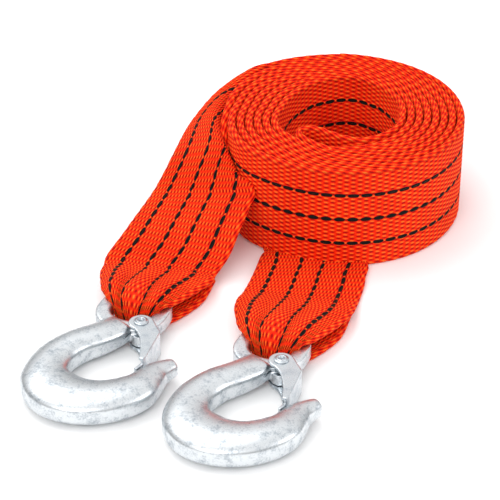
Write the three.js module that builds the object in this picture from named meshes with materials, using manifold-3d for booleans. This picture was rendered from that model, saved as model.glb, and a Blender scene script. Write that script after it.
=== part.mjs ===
import * as THREE from 'three';
import { mergeVertices } from 'three/addons/utils/BufferGeometryUtils.js';
import Module from 'manifold-3d';

// A tow strap: one length of orange webbing, folded in half and rolled up from the fold.
// Both ends come out of the roll, and each is sewn round the eye of a forged hook.
// The hooks are slip hooks with a sprung safety latch, and they lie flat on the floor.
// Millimetres, +Z up. The roll's axis is the Z axis while the pieces are made.

const wasm = await Module();
wasm.setup();

// Webbing
const WEBBING_WIDTH = 50;
const WEBBING_THICKNESS = 3.2;
const PLY_SINK = 0.1;
const LOWER_PLY = WEBBING_THICKNESS / 2;
const UPPER_PLY = LOWER_PLY + WEBBING_THICKNESS - PLY_SINK;

// Roll: its turns, the bore in its middle and the grooves that the turns leave on its ends
const BORE_RADIUS = 26.5;
const TURN_COUNT = 7;
const TURN_PITCH = 4;
const ROLL_RADIUS = BORE_RADIUS + TURN_COUNT * TURN_PITCH;
const ROLL_FLARE = 0.9;
const TURN_GROOVE_WIDTH = 0.9;
const TURN_GROOVE_DEPTH = 2.5;
const ROLL_STEPS = 48;

// Fold at the inner end of the roll, which stands out into the bore
const FOLD_ANGLE = 215;
const FOLD_SWEEP = 120;
const FOLD_STEPS = 16;
const FOLD_DEPTH = 2 * TURN_PITCH;

// Left end: it leaves the back of the roll, its top edge flops out and its low edge comes up.
// Each row: angle round the roll, height of the bend, height of the low edge, high edge.
const STRAND_GAP = 0.3;
const STRAND_RADIUS = ROLL_RADIUS + STRAND_GAP + WEBBING_THICKNESS / 2;
const STRAND_START_ANGLE = 90;
const BEND_ROUNDING = 8;
const LEFT_LEAVING = [
  [128, WEBBING_WIDTH, 0, [-35.2, 44.6, WEBBING_WIDTH]],
  [151, WEBBING_WIDTH, 8, [-54, 32.5, 46.1]],
  [177, WEBBING_WIDTH, 19.5, [-69.2, 11.6, 38.3]],
  [203, 47, 26, [-77.1, -12.4, 35.5]],
  [214.5, 39.5, 30.1, [-82.8, -19.1, 26.6]],
];

// Left end, free of the roll, down to its sewn part: its low edge and its high edge
const LEFT_LYING_LOW = [
  [-41.2, -38.5, 31.3],
  [-43.6, -46.4, 25.5],
  [-47.8, -54.2, 18.7],
  [-52.1, -61.7, 10.8],
  [-58.5, -69.7, UPPER_PLY],
  [-63, -80, UPPER_PLY],
];
const LEFT_LYING_HIGH = [
  [-87.3, -23.8, 20.5],
  [-90.9, -31, 18.6],
  [-95.6, -39.9, 16.2],
  [-100.5, -48.8, 13.4],
  [-107.1, -57.9, 8.2],
  [-110, -68, 5.5],
];
const LEFT_STEPS = 60;
const LEFT_STEPS_ACROSS = 6;

// Right end: it comes out flat from under the front of the roll.
const RIGHT_LYING_RIGHT = [
  [18, -32, LOWER_PLY],
  [12, -56.5, LOWER_PLY],
  [7, -75, LOWER_PLY],
  [4.2, -85, LOWER_PLY],
  [1.8, -93.5, 3.5],
  [-0.5, -100, UPPER_PLY],
];
const RIGHT_LYING_LEFT = [
  [-30, -18, LOWER_PLY],
  [-36.5, -43, LOWER_PLY],
  [-41.6, -62, LOWER_PLY],
  [-44.4, -72, LOWER_PLY],
  [-46.8, -80, 3.5],
  [-49, -88, UPPER_PLY],
];
const RIGHT_STEPS = 44;

// Hook eye
const EYE_BAR = 6.3;
const EYE_HOLE_WIDTH = 19;
const EYE_HOLE_LENGTH = 17;
const EYE_CORNER = 1.9;
const EYE_EDGE = 2.8;
const EYE_OFFSET = -9;
const EYE_FAR_BAR = -22;

// Webbing at the eye, where it is gathered.
// Each row of the gathering: how far behind the far bar, half of the width, height.
const WEBBING_CLEARANCE = 0.3;
const GATHERED_WIDTH = 15;
const GATHERING = [
  [16, 20, 7],
  [8, 10.5, 11.2],
  [3.8, GATHERED_WIDTH / 2, 11.9],
];
const WRAP_STEPS = 8;

// The webbing's own end, which is sewn on below the gathered part
const SEWN_LENGTH = 34;
const SEWN_NARROW_TO = 4;
const SEWN_WIDE_FROM = 22;
const SEWN_WIDTH = WEBBING_WIDTH - 2;
const SEWN_STEPS = 12;

// Hook, with the rivet at its origin, its length along X and the floor at Z = 0
const LEFT_RIVET = [-89.4, -116.1];
const RIGHT_RIVET = [-29.9, -144];
const HOOK_TURN = -112.7;
const HOOK_THICKNESS = 13.2;
const HOOK_MIDDLE = Math.max(HOOK_THICKNESS / 2, EYE_BAR / 2 + WEBBING_CLEARANCE + WEBBING_THICKNESS);
const HOOK_STEPS = 32;

// Forged bar from the neck to the tip: along, across, width, share of the hook's thickness
const HOOK_BAR = [
  [0, -9.5, 14, 0.68],
  [5, -11.5, 14.5, 0.8],
  [12, -15.5, 15, 0.91],
  [21, -21.5, 15.2, 1],
  [31.5, -24.9, 16.3, 1],
  [41.5, -24.3, 18.6, 1],
  [48.7, -20.6, 22.2, 1],
  [53.6, -13.4, 24.4, 1],
  [54.7, -4.8, 23.6, 1],
  [51.8, 4.9, 21.4, 1],
  [46, 12, 19.4, 1],
  [39, 16.3, 17, 0.95],
  [31.8, 17.7, 13.8, 0.86],
  [25.8, 18.3, 11.6, 0.77],
  [21.2, 20, 9.8, 0.7],
  [17.4, 21.8, 7.4, 0.58],
];

// Section of the forged bar, as shares of its half width and half thickness:
// a flat band at each side and a crown above and below
const HOOK_SECTION = [
  [1, -0.34], [1, 0.34], [0.86, 0.68], [0.5, 0.92], [0, 1], [-0.5, 0.92], [-0.86, 0.68],
  [-1, 0.34], [-1, -0.34], [-0.86, -0.68], [-0.5, -0.92], [0, -1], [0.5, -0.92], [0.86, -0.68],
];

// Latch: a channel of sheet steel on both sides of the lug
const LATCH_SHEET = 1.2;
const LATCH_INSIDE = 9.4;
const LATCH_SIDE_GAP = 0.3;
const LATCH_BOSS = 5.4;
const LATCH_TOP = HOOK_MIDDLE + LATCH_INSIDE / 2 + LATCH_SHEET;
const LATCH_BOTTOM = HOOK_MIDDLE - LATCH_INSIDE / 2 - LATCH_SHEET;

// Outer face of the latch's web, of the tongue that runs on to the inside of the hook's tip,
// and the edge of its cheeks towards the neck
const WEB_LINE = [[3.5, 10.6], [22, 12.6], [24.5, 12.1]];
const TONGUE_LINE = [[22, 12.6], [28.5, 10.9]];
const TONGUE_HEIGHT = 6;
const CHEEK_INNER_EDGE = [[24.6, 10.3], [18, 7.9], [11, 4]];
const BOSS_START_ANGLE = -10;
const BOSS_END_ANGLE = -230;

// Lug that carries the latch
const LUG_RADIUS = 4.8;
const LUG_THICKNESS = 5;
const LUG_BOTTOM = HOOK_MIDDLE - LATCH_INSIDE / 2 + LATCH_SIDE_GAP;
const LUG_TOP = LUG_BOTTOM + LUG_THICKNESS;
const LUG_START_ANGLE = -60;
const LUG_END_ANGLE = 150;
const LUG_ROOT = [[-4, -6], [8, -9]];
const LATCH_ROOM_ANGLE = 150;

// Rivet and spring
const RIVET_RADIUS = 2.2;
const RIVET_BORE = 1.3;
const RIVET_HEAD_RADIUS = 3.2;
const RIVET_TOP_HEAD = 1.1;
const RIVET_BOTTOM_HEAD = 0.5;
const RIVET_HEAD_EDGE = 0.3;
const RIVET_FIT = 0.08;
const SPRING_WIRE = 1;
const SPRING_GAP = 0.3;
const ROUND_STEPS = 16;
const CURVE_STEPS = 8;
const CUT_MARGIN = 1;

const up = new THREE.Vector3(0, 0, 1);
const radians = THREE.MathUtils.degToRad;

// Joining and cutting

function solidOf(geometry) {
  const bare = geometry.clone();
  bare.deleteAttribute('normal');
  bare.deleteAttribute('uv');
  const merged = mergeVertices(bare, 1e-4);
  return new wasm.Manifold(new wasm.Mesh({
    numProp: 3,
    vertProperties: new Float32Array(merged.attributes.position.array),
    triVerts: new Uint32Array(merged.index.array),
  }));
}

function geometryOf(solid) {
  const mesh = solid.getMesh();
  const geometry = new THREE.BufferGeometry();
  geometry.setAttribute('position', new THREE.BufferAttribute(new Float32Array(mesh.vertProperties), 3));
  geometry.setIndex(new THREE.BufferAttribute(new Uint32Array(mesh.triVerts), 1));
  return geometry;
}

function join(geometries) {
  return geometryOf(geometries.map(solidOf).reduce((whole, piece) => whole.add(piece)));
}

function cut(geometry, cutters) {
  return geometryOf(cutters.map(solidOf).reduce((whole, cutter) => whole.subtract(cutter), solidOf(geometry)));
}

// Moves every vertex of a geometry to the place that the function gives for it.
function reshape(geometry, place) {
  const position = geometry.attributes.position;
  const vertex = new THREE.Vector3();
  for (let i = 0; i < position.count; i++) {
    const moved = place(vertex.fromBufferAttribute(position, i));
    position.setXYZ(i, moved.x, moved.y, moved.z);
  }
  return geometry;
}

// A flat outline, made a plate from one height to another
function plate(outline, bottom, top) {
  const geometry = new THREE.ExtrudeGeometry(outline, {
    depth: top - bottom,
    bevelEnabled: false,
    curveSegments: CURVE_STEPS,
  });
  geometry.translate(0, 0, bottom);
  return geometry;
}

// A ring or disc round Z from its profile: distance from Z and height
function turned(profile, steps) {
  const geometry = new THREE.LatheGeometry(profile.map(([x, y]) => new THREE.Vector2(x, y)), steps);
  geometry.rotateX(Math.PI / 2);
  return geometry;
}

function cylinder(radius, bottom, top) {
  const geometry = new THREE.CylinderGeometry(radius, radius, top - bottom, ROUND_STEPS);
  geometry.rotateX(Math.PI / 2);
  geometry.translate(0, 0, (top + bottom) / 2);
  return geometry;
}

// A plate of webbing that follows surface(t, a): t from 0 to 1 along it, a from 0 to 1 across it.
function webbingPlate(surface, alongSteps, acrossSteps) {
  const flat = new THREE.BoxGeometry(1, 1, WEBBING_THICKNESS, alongSteps, acrossSteps, 1);
  const step = 1e-3;
  return reshape(flat, (vertex) => {
    const t = vertex.x + 0.5;
    const a = vertex.y + 0.5;
    const along = surface(Math.min(t + step, 1), a).sub(surface(Math.max(t - step, 0), a));
    const across = surface(t, a + step).sub(surface(t, a - step));
    const normal = along.cross(across).normalize();
    return surface(t, a).addScaledVector(normal, vertex.z);
  });
}

// Roll of webbing

function rollEnd(height, inwards) {
  const points = [];
  for (let turn = 1; turn < TURN_COUNT; turn++) {
    const radius = BORE_RADIUS + turn * TURN_PITCH;
    points.push([radius - TURN_GROOVE_WIDTH / 2, height]);
    points.push([radius, height + inwards * TURN_GROOVE_DEPTH]);
    points.push([radius + TURN_GROOVE_WIDTH / 2, height]);
  }
  return points;
}

function rollGeometry() {
  return turned([
    [BORE_RADIUS, 0],
    ...rollEnd(0, 1),
    [ROLL_RADIUS, 0],
    [ROLL_RADIUS + ROLL_FLARE, WEBBING_WIDTH],
    ...rollEnd(WEBBING_WIDTH, -1).reverse(),
    [BORE_RADIUS, WEBBING_WIDTH],
    [BORE_RADIUS, 0],
  ], ROLL_STEPS);
}

// The fold is a crescent on the bore's wall: a round nose that thins out along the wall.
function foldGeometry() {
  const wall = BORE_RADIUS + TURN_PITCH / 2;
  const noseRadius = FOLD_DEPTH / 2;
  const nosePlace = BORE_RADIUS - noseRadius;
  const noseSteps = FOLD_STEPS / 2;
  const points = [];
  const place = (radius, angle) => {
    points.push(new THREE.Vector2(radius * Math.cos(angle), radius * Math.sin(angle)));
  };
  for (let step = 0; step <= FOLD_STEPS; step++) {
    place(wall, radians(FOLD_ANGLE + FOLD_SWEEP * step / FOLD_STEPS));
  }
  for (let step = FOLD_STEPS - 1; step > 0; step--) {
    const share = step / FOLD_STEPS;
    place(BORE_RADIUS - FOLD_DEPTH * (1 - share ** 2), radians(FOLD_ANGLE + FOLD_SWEEP * share));
  }
  for (let step = 1; step < noseSteps; step++) {
    const turn = -Math.PI / 2 - Math.PI * step / noseSteps;
    place(nosePlace + noseRadius * Math.sin(turn), radians(FOLD_ANGLE) + noseRadius * Math.cos(turn) / nosePlace);
  }
  return plate(new THREE.Shape(points), 0, WEBBING_WIDTH);
}

// Webbing ends

function vectors(points) {
  return points.map(([x, y, z]) => new THREE.Vector3(x, y, z));
}

function onRoll(radius, angle, height) {
  return new THREE.Vector3(radius * Math.cos(radians(angle)), radius * Math.sin(radians(angle)), height);
}

function notBelow(point, height) {
  return point.setZ(Math.max(point.z, height));
}

// A place given along the hook, across it and up from the floor, as a point in the roll's frame
function hookPoint(rivet, along, across, height) {
  const point = new THREE.Vector3(along, across, height).applyAxisAngle(up, radians(HOOK_TURN));
  return point.add(new THREE.Vector3(rivet[0], rivet[1], 0));
}

// Over the far bar of the eye, down through the hole and back below the bar
function eyeWrap(rivet, across) {
  const radius = (EYE_BAR + WEBBING_THICKNESS) / 2 + WEBBING_CLEARANCE;
  const points = [];
  for (let step = 0; step <= WRAP_STEPS; step++) {
    const angle = Math.PI * (0.5 - step / WRAP_STEPS);
    const along = EYE_FAR_BAR + radius * Math.cos(angle);
    points.push(hookPoint(rivet, along, across, HOOK_MIDDLE + radius * Math.sin(angle)));
  }
  return points;
}

// One edge of the webbing where it narrows towards the eye and goes round the far bar
function gatheredEdge(rivet, side) {
  const edge = GATHERING.map(([behind, halfWidth, height]) => (
    hookPoint(rivet, EYE_FAR_BAR - behind, EYE_OFFSET + side * halfWidth, height)));
  return [...edge, ...eyeWrap(rivet, EYE_OFFSET + side * GATHERED_WIDTH / 2)];
}

// The section runs straight from the low edge to the bend and from there straight to the high edge.
function bentSection(low, bend, high, share) {
  const lowLength = low.distanceTo(bend);
  const highLength = high.distanceTo(bend);
  const lowWay = bend.clone().sub(low).normalize();
  const highWay = high.clone().sub(bend).normalize();
  const fromBend = share * (lowLength + highLength) - lowLength;
  const rounding = Math.min(BEND_ROUNDING, lowLength, highLength);
  const past = (fromBend + Math.hypot(fromBend, rounding)) / 2;
  return bend.clone().addScaledVector(lowWay, fromBend - past).addScaledVector(highWay, past);
}

function leftEnd() {
  const inRoll = STRAND_RADIUS - TURN_PITCH;
  const lowPoints = [onRoll(inRoll, STRAND_START_ANGLE, 0)];
  const bendPoints = [onRoll(inRoll, STRAND_START_ANGLE, WEBBING_WIDTH - PLY_SINK)];
  const highPoints = [onRoll(inRoll, STRAND_START_ANGLE, WEBBING_WIDTH)];
  for (const [angle, bendHeight, lowHeight, high] of LEFT_LEAVING) {
    lowPoints.push(onRoll(STRAND_RADIUS, angle, lowHeight));
    bendPoints.push(onRoll(STRAND_RADIUS, angle, bendHeight));
    highPoints.push(new THREE.Vector3(...high));
  }
  const eyeLow = gatheredEdge(LEFT_RIVET, 1);
  const eyeHigh = gatheredEdge(LEFT_RIVET, -1);
  const lying = vectors(LEFT_LYING_LOW);
  const low = new THREE.CatmullRomCurve3([...lowPoints, ...lying, ...eyeLow]);
  const bend = new THREE.CatmullRomCurve3([...bendPoints, ...lying, ...eyeLow]);
  const high = new THREE.CatmullRomCurve3([...highPoints, ...vectors(LEFT_LYING_HIGH), ...eyeHigh]);
  return (t, a) => bentSection(notBelow(low.getPoint(t), 0), bend.getPoint(t), high.getPoint(t), a);
}

function rightEnd() {
  const right = new THREE.CatmullRomCurve3([...vectors(RIGHT_LYING_RIGHT), ...gatheredEdge(RIGHT_RIVET, 1)]);
  const left = new THREE.CatmullRomCurve3([...vectors(RIGHT_LYING_LEFT), ...gatheredEdge(RIGHT_RIVET, -1)]);
  return (t, a) => notBelow(right.getPoint(t).lerp(left.getPoint(t), a), LOWER_PLY);
}

// The webbing's own end, back under the gathered part and flat on the floor
function sewnEnd(rivet) {
  return (t, a) => {
    const behind = t * SEWN_LENGTH;
    const spread = THREE.MathUtils.smoothstep(behind, SEWN_NARROW_TO, SEWN_WIDE_FROM);
    const width = THREE.MathUtils.lerp(GATHERED_WIDTH, SEWN_WIDTH, spread);
    return hookPoint(rivet, EYE_FAR_BAR - behind, EYE_OFFSET + (0.5 - a) * width, LOWER_PLY);
  };
}

function webbingGeometry() {
  return join([
    rollGeometry(),
    foldGeometry(),
    webbingPlate(leftEnd(), LEFT_STEPS, LEFT_STEPS_ACROSS),
    webbingPlate(rightEnd(), RIGHT_STEPS, 2),
    webbingPlate(sewnEnd(LEFT_RIVET), SEWN_STEPS, 2),
    webbingPlate(sewnEnd(RIGHT_RIVET), SEWN_STEPS, 2),
  ]);
}

// Hook

function hookBarGeometry() {
  const centre = new THREE.CatmullRomCurve3(HOOK_BAR.map(([x, y]) => new THREE.Vector3(x, y, 0)));
  const size = new THREE.CatmullRomCurve3(HOOK_BAR.map(([, , width, thickness]) => (
    new THREE.Vector3(width / 2, thickness * HOOK_THICKNESS / 2, 0))));
  const sides = HOOK_SECTION.length;
  const bar = new THREE.CylinderGeometry(1, 1, 1, sides, HOOK_STEPS);
  return reshape(bar, (vertex) => {
    const t = 0.5 - vertex.y;
    const turn = Math.atan2(vertex.x, vertex.z) / (2 * Math.PI) + 1;
    const [across, rise] = HOOK_SECTION[Math.round(turn * sides) % sides];
    const reach = Math.round(Math.hypot(vertex.x, vertex.z));
    const tangent = centre.getTangent(t);
    const half = size.getPoint(t);
    const outwards = new THREE.Vector3(tangent.y, -tangent.x, 0);
    const point = centre.getPoint(t).addScaledVector(outwards, across * half.x * reach);
    return point.setZ(HOOK_MIDDLE + rise * half.y * reach);
  });
}

function roundedRectangle(target, left, right, low, high, corner) {
  target.moveTo(left + corner, low);
  target.lineTo(right - corner, low);
  target.absarc(right - corner, low + corner, corner, -Math.PI / 2, 0, false);
  target.lineTo(right, high - corner);
  target.absarc(right - corner, high - corner, corner, 0, Math.PI / 2, false);
  target.lineTo(left + corner, high);
  target.absarc(left + corner, high - corner, corner, Math.PI / 2, Math.PI, false);
  target.lineTo(left, low + corner);
  target.absarc(left + corner, low + corner, corner, Math.PI, 1.5 * Math.PI, false);
  return target;
}

function eyeGeometry() {
  const holeBack = EYE_FAR_BAR + EYE_BAR / 2;
  const holeFront = holeBack + EYE_HOLE_LENGTH;
  const low = EYE_OFFSET - EYE_HOLE_WIDTH / 2;
  const high = EYE_OFFSET + EYE_HOLE_WIDTH / 2;
  const outline = roundedRectangle(new THREE.Shape(), holeBack - EYE_BAR, holeFront + EYE_BAR,
    low - EYE_BAR, high + EYE_BAR, EYE_CORNER + EYE_BAR);
  outline.holes.push(roundedRectangle(new THREE.Path(), holeBack, holeFront, low, high, EYE_CORNER));
  const eye = new THREE.ExtrudeGeometry(outline, {
    depth: EYE_BAR - 2 * EYE_EDGE,
    bevelThickness: EYE_EDGE,
    bevelSize: EYE_EDGE,
    bevelOffset: -EYE_EDGE,
    bevelSegments: 2,
    curveSegments: 4,
  });
  eye.translate(0, 0, HOOK_MIDDLE - EYE_BAR / 2 + EYE_EDGE);
  return eye;
}

// The tab that carries the latch's rivet
function lugGeometry() {
  const outline = new THREE.Shape();
  outline.absarc(0, 0, LUG_RADIUS, radians(LUG_START_ANGLE), radians(LUG_END_ANGLE), false);
  for (const [along, across] of LUG_ROOT) {
    outline.lineTo(along, across);
  }
  return plate(outline, LUG_BOTTOM, LUG_TOP);
}

// Room for the latch where it turns beside the neck
function latchRoom(bottom, top) {
  const outline = new THREE.Shape();
  const end = radians(LATCH_ROOM_ANGLE);
  outline.absarc(0, 0, LATCH_BOSS + LATCH_SIDE_GAP, -end, end, false);
  return plate(outline, bottom, top);
}

function hookGeometry() {
  const body = join([hookBarGeometry(), eyeGeometry(), lugGeometry()]);
  return cut(body, [
    latchRoom(LUG_TOP, HOOK_MIDDLE + HOOK_THICKNESS),
    latchRoom(HOOK_MIDDLE - HOOK_THICKNESS, LUG_BOTTOM),
    cylinder(RIVET_RADIUS + RIVET_FIT, LUG_BOTTOM - CUT_MARGIN, LUG_TOP + CUT_MARGIN),
  ]);
}

// Latch

function cheekGeometry(bottom) {
  const outline = new THREE.Shape();
  outline.absarc(0, 0, LATCH_BOSS, radians(BOSS_START_ANGLE), radians(BOSS_END_ANGLE), true);
  for (const [along, across] of [...WEB_LINE, ...CHEEK_INNER_EDGE]) {
    outline.lineTo(along, across);
  }
  return plate(outline, bottom, bottom + LATCH_SHEET);
}

// A strip of sheet that stands on edge, with its outer face on the line
function standingSheet(line, height) {
  const outer = line.map(([along, across]) => new THREE.Vector2(along, across));
  const inner = outer.map((point, i) => {
    const way = outer[Math.min(i + 1, outer.length - 1)].clone().sub(outer[Math.max(i - 1, 0)]).normalize();
    return new THREE.Vector2(point.x + way.y * LATCH_SHEET, point.y - way.x * LATCH_SHEET);
  });
  const outline = new THREE.Shape([...outer, ...inner.reverse()]);
  return plate(outline, HOOK_MIDDLE - height / 2, HOOK_MIDDLE + height / 2);
}

function latchGeometry() {
  const channel = join([
    cheekGeometry(LATCH_BOTTOM),
    cheekGeometry(LATCH_TOP - LATCH_SHEET),
    standingSheet(WEB_LINE, LATCH_TOP - LATCH_BOTTOM),
    standingSheet(TONGUE_LINE, TONGUE_HEIGHT),
  ]);
  return cut(channel, [cylinder(RIVET_RADIUS + RIVET_FIT, LATCH_BOTTOM - CUT_MARGIN, LATCH_TOP + CUT_MARGIN)]);
}

// Rivet: a tube through the cheeks and the lug, with a rolled head at both ends
function rivetGeometry() {
  const low = LATCH_BOTTOM - RIVET_FIT;
  const high = LATCH_TOP + RIVET_FIT;
  return turned([
    [RIVET_BORE, low - RIVET_BOTTOM_HEAD],
    [RIVET_HEAD_RADIUS - RIVET_HEAD_EDGE, low - RIVET_BOTTOM_HEAD],
    [RIVET_HEAD_RADIUS, low - RIVET_HEAD_EDGE / 2],
    [RIVET_HEAD_RADIUS, low],
    [RIVET_RADIUS, low],
    [RIVET_RADIUS, high],
    [RIVET_HEAD_RADIUS, high],
    [RIVET_HEAD_RADIUS, high + RIVET_TOP_HEAD / 2],
    [RIVET_HEAD_RADIUS - RIVET_HEAD_EDGE, high + RIVET_TOP_HEAD],
    [RIVET_BORE, high + RIVET_TOP_HEAD],
    [RIVET_BORE, low - RIVET_BOTTOM_HEAD],
  ], ROUND_STEPS);
}

// Torsion spring on the rivet, above the lug: the outer shape of its turns
function springGeometry() {
  const inner = RIVET_RADIUS + SPRING_GAP;
  const outer = inner + SPRING_WIRE;
  const bottom = LUG_TOP + SPRING_GAP;
  const top = LATCH_TOP - LATCH_SHEET - SPRING_GAP;
  return turned([[inner, bottom], [outer, bottom], [outer, top], [inner, top], [inner, bottom]], ROUND_STEPS);
}

// Assembly

const webbingMaterial = new THREE.MeshStandardMaterial({ color: 0xfa4407, roughness: 0.85, metalness: 0 });
const hookMaterial = new THREE.MeshStandardMaterial({ color: 0xd9dde1, roughness: 0.4, metalness: 0.9 });
const latchMaterial = new THREE.MeshStandardMaterial({ color: 0xdde1e4, roughness: 0.35, metalness: 0.9 });
const rivetMaterial = new THREE.MeshStandardMaterial({ color: 0xd2d6da, roughness: 0.3, metalness: 0.95 });
const springMaterial = new THREE.MeshStandardMaterial({ color: 0x6f7a80, roughness: 0.3, metalness: 0.95 });

function named(name, geometry, material) {
  const mesh = new THREE.Mesh(geometry, material);
  mesh.name = name;
  return mesh;
}

function hookAssembly(side, rivet) {
  const assembly = new THREE.Group();
  assembly.add(named(`hook_${side}`, hookGeometry(), hookMaterial));
  assembly.add(named(`latch_${side}`, latchGeometry(), latchMaterial));
  assembly.add(named(`latch_rivet_${side}`, rivetGeometry(), rivetMaterial));
  assembly.add(named(`latch_spring_${side}`, springGeometry(), springMaterial));
  assembly.rotation.z = radians(HOOK_TURN);
  assembly.position.set(rivet[0], rivet[1], 0);
  return assembly;
}

const towStrap = new THREE.Group();
towStrap.add(named('webbing', webbingGeometry(), webbingMaterial));
towStrap.add(hookAssembly('left', LEFT_RIVET));
towStrap.add(hookAssembly('right', RIGHT_RIVET));

// The origin goes to the middle of the underside of the whole strap.
const bounds = new THREE.Box3().setFromObject(towStrap, true);
const middle = bounds.getCenter(new THREE.Vector3());
towStrap.position.set(-middle.x, -middle.y, -bounds.min.z);

export default towStrap;
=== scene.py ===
# %% [markdown]
# # A rolled tow strap
#
# The strap is one length of orange webbing. It was folded in half and rolled up from the fold,
# so two strands wind side by side, and both ends come out of the roll. Each end is sewn round
# the eye of a forged slip hook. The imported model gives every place. This file gives the looks.

import bpy
import numpy as np
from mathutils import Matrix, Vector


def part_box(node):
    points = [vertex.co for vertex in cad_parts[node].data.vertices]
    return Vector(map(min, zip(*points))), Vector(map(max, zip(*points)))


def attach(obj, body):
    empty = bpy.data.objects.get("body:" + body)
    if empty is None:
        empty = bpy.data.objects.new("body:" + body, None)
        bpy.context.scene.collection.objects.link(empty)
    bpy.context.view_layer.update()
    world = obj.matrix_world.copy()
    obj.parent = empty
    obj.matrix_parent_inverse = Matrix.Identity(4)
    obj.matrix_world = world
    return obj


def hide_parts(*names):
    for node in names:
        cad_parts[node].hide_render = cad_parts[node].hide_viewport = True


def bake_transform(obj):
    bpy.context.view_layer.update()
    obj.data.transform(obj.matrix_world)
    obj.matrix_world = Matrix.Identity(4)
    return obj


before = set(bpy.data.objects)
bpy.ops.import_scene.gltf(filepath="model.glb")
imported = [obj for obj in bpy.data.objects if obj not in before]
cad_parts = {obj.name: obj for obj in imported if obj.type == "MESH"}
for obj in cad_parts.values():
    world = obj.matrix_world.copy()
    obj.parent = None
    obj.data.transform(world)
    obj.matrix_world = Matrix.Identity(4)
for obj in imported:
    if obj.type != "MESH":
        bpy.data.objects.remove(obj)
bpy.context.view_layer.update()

# %% [markdown]
# ## One frame for all the pieces
#
# The shapes below are given in millimetres from the roll's axis, with the hooks towards -Y.
# The left rivet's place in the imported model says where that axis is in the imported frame.
# Each hook has its own directions too: along it from the rivet, across it, and up from the floor.

# %% Places
WIDTH = 50.0
LEFT_RIVET = np.array([-89.4, -116.1])
RIGHT_RIVET = np.array([-29.9, -144.0])
HOOK_TURN = np.radians(-112.7)

rivet_low, rivet_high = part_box("latch_rivet_left")
ROLL_AXIS = (np.array(rivet_low)[:2] + np.array(rivet_high)[:2]) / 2 - LEFT_RIVET / 1000


def metres(points):
    """Millimetres from the roll's axis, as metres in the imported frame: divide, then shift."""
    placed = np.array(points, float) / 1000
    placed[..., :2] += ROLL_AXIS
    return placed


def hook_place(rivet, along, across, height):
    """Along the hook, across it and up, in mm: turn by the hook's angle, then add the rivet's place."""
    along, across, height = np.broadcast_arrays(*[np.asarray(x, float) for x in (along, across, height)])
    x = along * np.cos(HOOK_TURN) - across * np.sin(HOOK_TURN) + rivet[0]
    y = along * np.sin(HOOK_TURN) + across * np.cos(HOOK_TURN) + rivet[1]
    return np.stack([x, y, height], -1)


print("Roll axis in metres:", ROLL_AXIS)

# %% [markdown]
# ## Camera, floor and light
#
# The camera stands where the photographer's did: about 33 degrees up, a metre away, with a long
# lens. The floor is a plain white sheet. A bright sky and three large soft lamps, above, in front
# and to the right, leave only the faint shadows that lie close to the strap. The sky is darker
# near the horizon, and that gives the steel its darker sides.

# %% Camera
camera_data = bpy.data.cameras.new("camera")
camera_data.lens = 172.8
camera_data.sensor_width = 36
camera_data.sensor_fit = "HORIZONTAL"
camera_data.clip_end = 20
camera = bpy.data.objects.new("camera", camera_data)
bpy.context.scene.collection.objects.link(camera)
camera.location = metres([-43.0, -958.9, 592.4])
camera.rotation_euler = (np.radians(90 - 32.82), 0, 0)
bpy.context.scene.camera = camera

# %% Floor and lamps
def link(obj):
    bpy.context.scene.collection.objects.link(obj)
    return obj


floor_mesh = bpy.data.meshes.new("floor")
floor_mesh.from_pydata([(-3, -3, 0), (3, -3, 0), (3, 3, 0), (-3, 3, 0)], [], [(0, 1, 2, 3)])
floor = link(bpy.data.objects.new("floor", floor_mesh))


def area_lamp(name, place, aim, size, power):
    """A square soft lamp at a place in metres, turned so that it shines at the aim point."""
    lamp = bpy.data.lights.new(name, "AREA")
    lamp.shape = "SQUARE"
    lamp.size = size
    lamp.energy = power
    obj = link(bpy.data.objects.new(name, lamp))
    obj.location = place
    way = np.array(place) - np.array(aim)
    pitch = np.arccos(way[2] / np.linalg.norm(way))
    obj.rotation_euler = (0, pitch, np.arctan2(way[1], way[0]))


area_lamp("lamp_above", (-0.5, 0.5, 1.3), (0, 0, 0), 1.0, 7)
area_lamp("lamp_front", (-0.5, -1.2, 0.9), (0, 0, 0.02), 1.0, 9)
area_lamp("lamp_right", (1.3, -0.3, 0.7), (0, 0, 0.02), 0.6, 4)

# %% Sky
world = bpy.data.worlds.new("studio")
bpy.context.scene.world = world
world.use_nodes = True
studio = world.node_tree
way = studio.nodes.new("ShaderNodeTexCoord")
height = studio.nodes.new("ShaderNodeSeparateXYZ")
studio.links.new(way.outputs["Generated"], height.inputs[0])
walls = studio.nodes.new("ShaderNodeMapRange")
walls.interpolation_type = "SMOOTHSTEP"
for key, value in (("From Min", 0.05), ("From Max", 0.75), ("To Min", 0.3), ("To Max", 1.05)):
    walls.inputs[key].default_value = value
studio.links.new(height.outputs["Z"], walls.inputs["Value"])
studio.links.new(walls.outputs[0], studio.nodes["Background"].inputs["Strength"])
studio.nodes["Background"].inputs["Color"].default_value = (1, 1, 1, 1)
bpy.context.scene.view_settings.view_transform = "Standard"
print("Lamps in watts:", {lamp.name: lamp.energy for lamp in bpy.data.lights})

# %% [markdown]
# ## Helpers for materials
#
# One function adds any node with its settings and its links. Colours are written as sRGB hex,
# the way a colour picker shows them, and one function turns them into linear light.

# %% Material helpers
def linear(hex_colour):
    """sRGB hex as linear light: each share to the power 2.4 above the toe, and opaque."""
    share = np.array([int(hex_colour[i:i + 2], 16) for i in (1, 3, 5)]) / 255
    toe = share <= 0.04045
    light = np.where(toe, share / 12.92, ((share + 0.055) / 1.055) ** 2.4)
    return (*[float(x) for x in light], 1.0)


def node(tree, kind, values=None, **settings):
    """Adds a node. A setting is the node's own property; a value is a number, colour or link."""
    added = tree.nodes.new(kind)
    for key, value in settings.items():
        setattr(added, key, value)
    for key, value in (values or {}).items():
        socket = added.inputs[key]
        if isinstance(value, bpy.types.NodeSocket):
            tree.links.new(value, socket)
        else:
            socket.default_value = value
    return added


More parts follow.
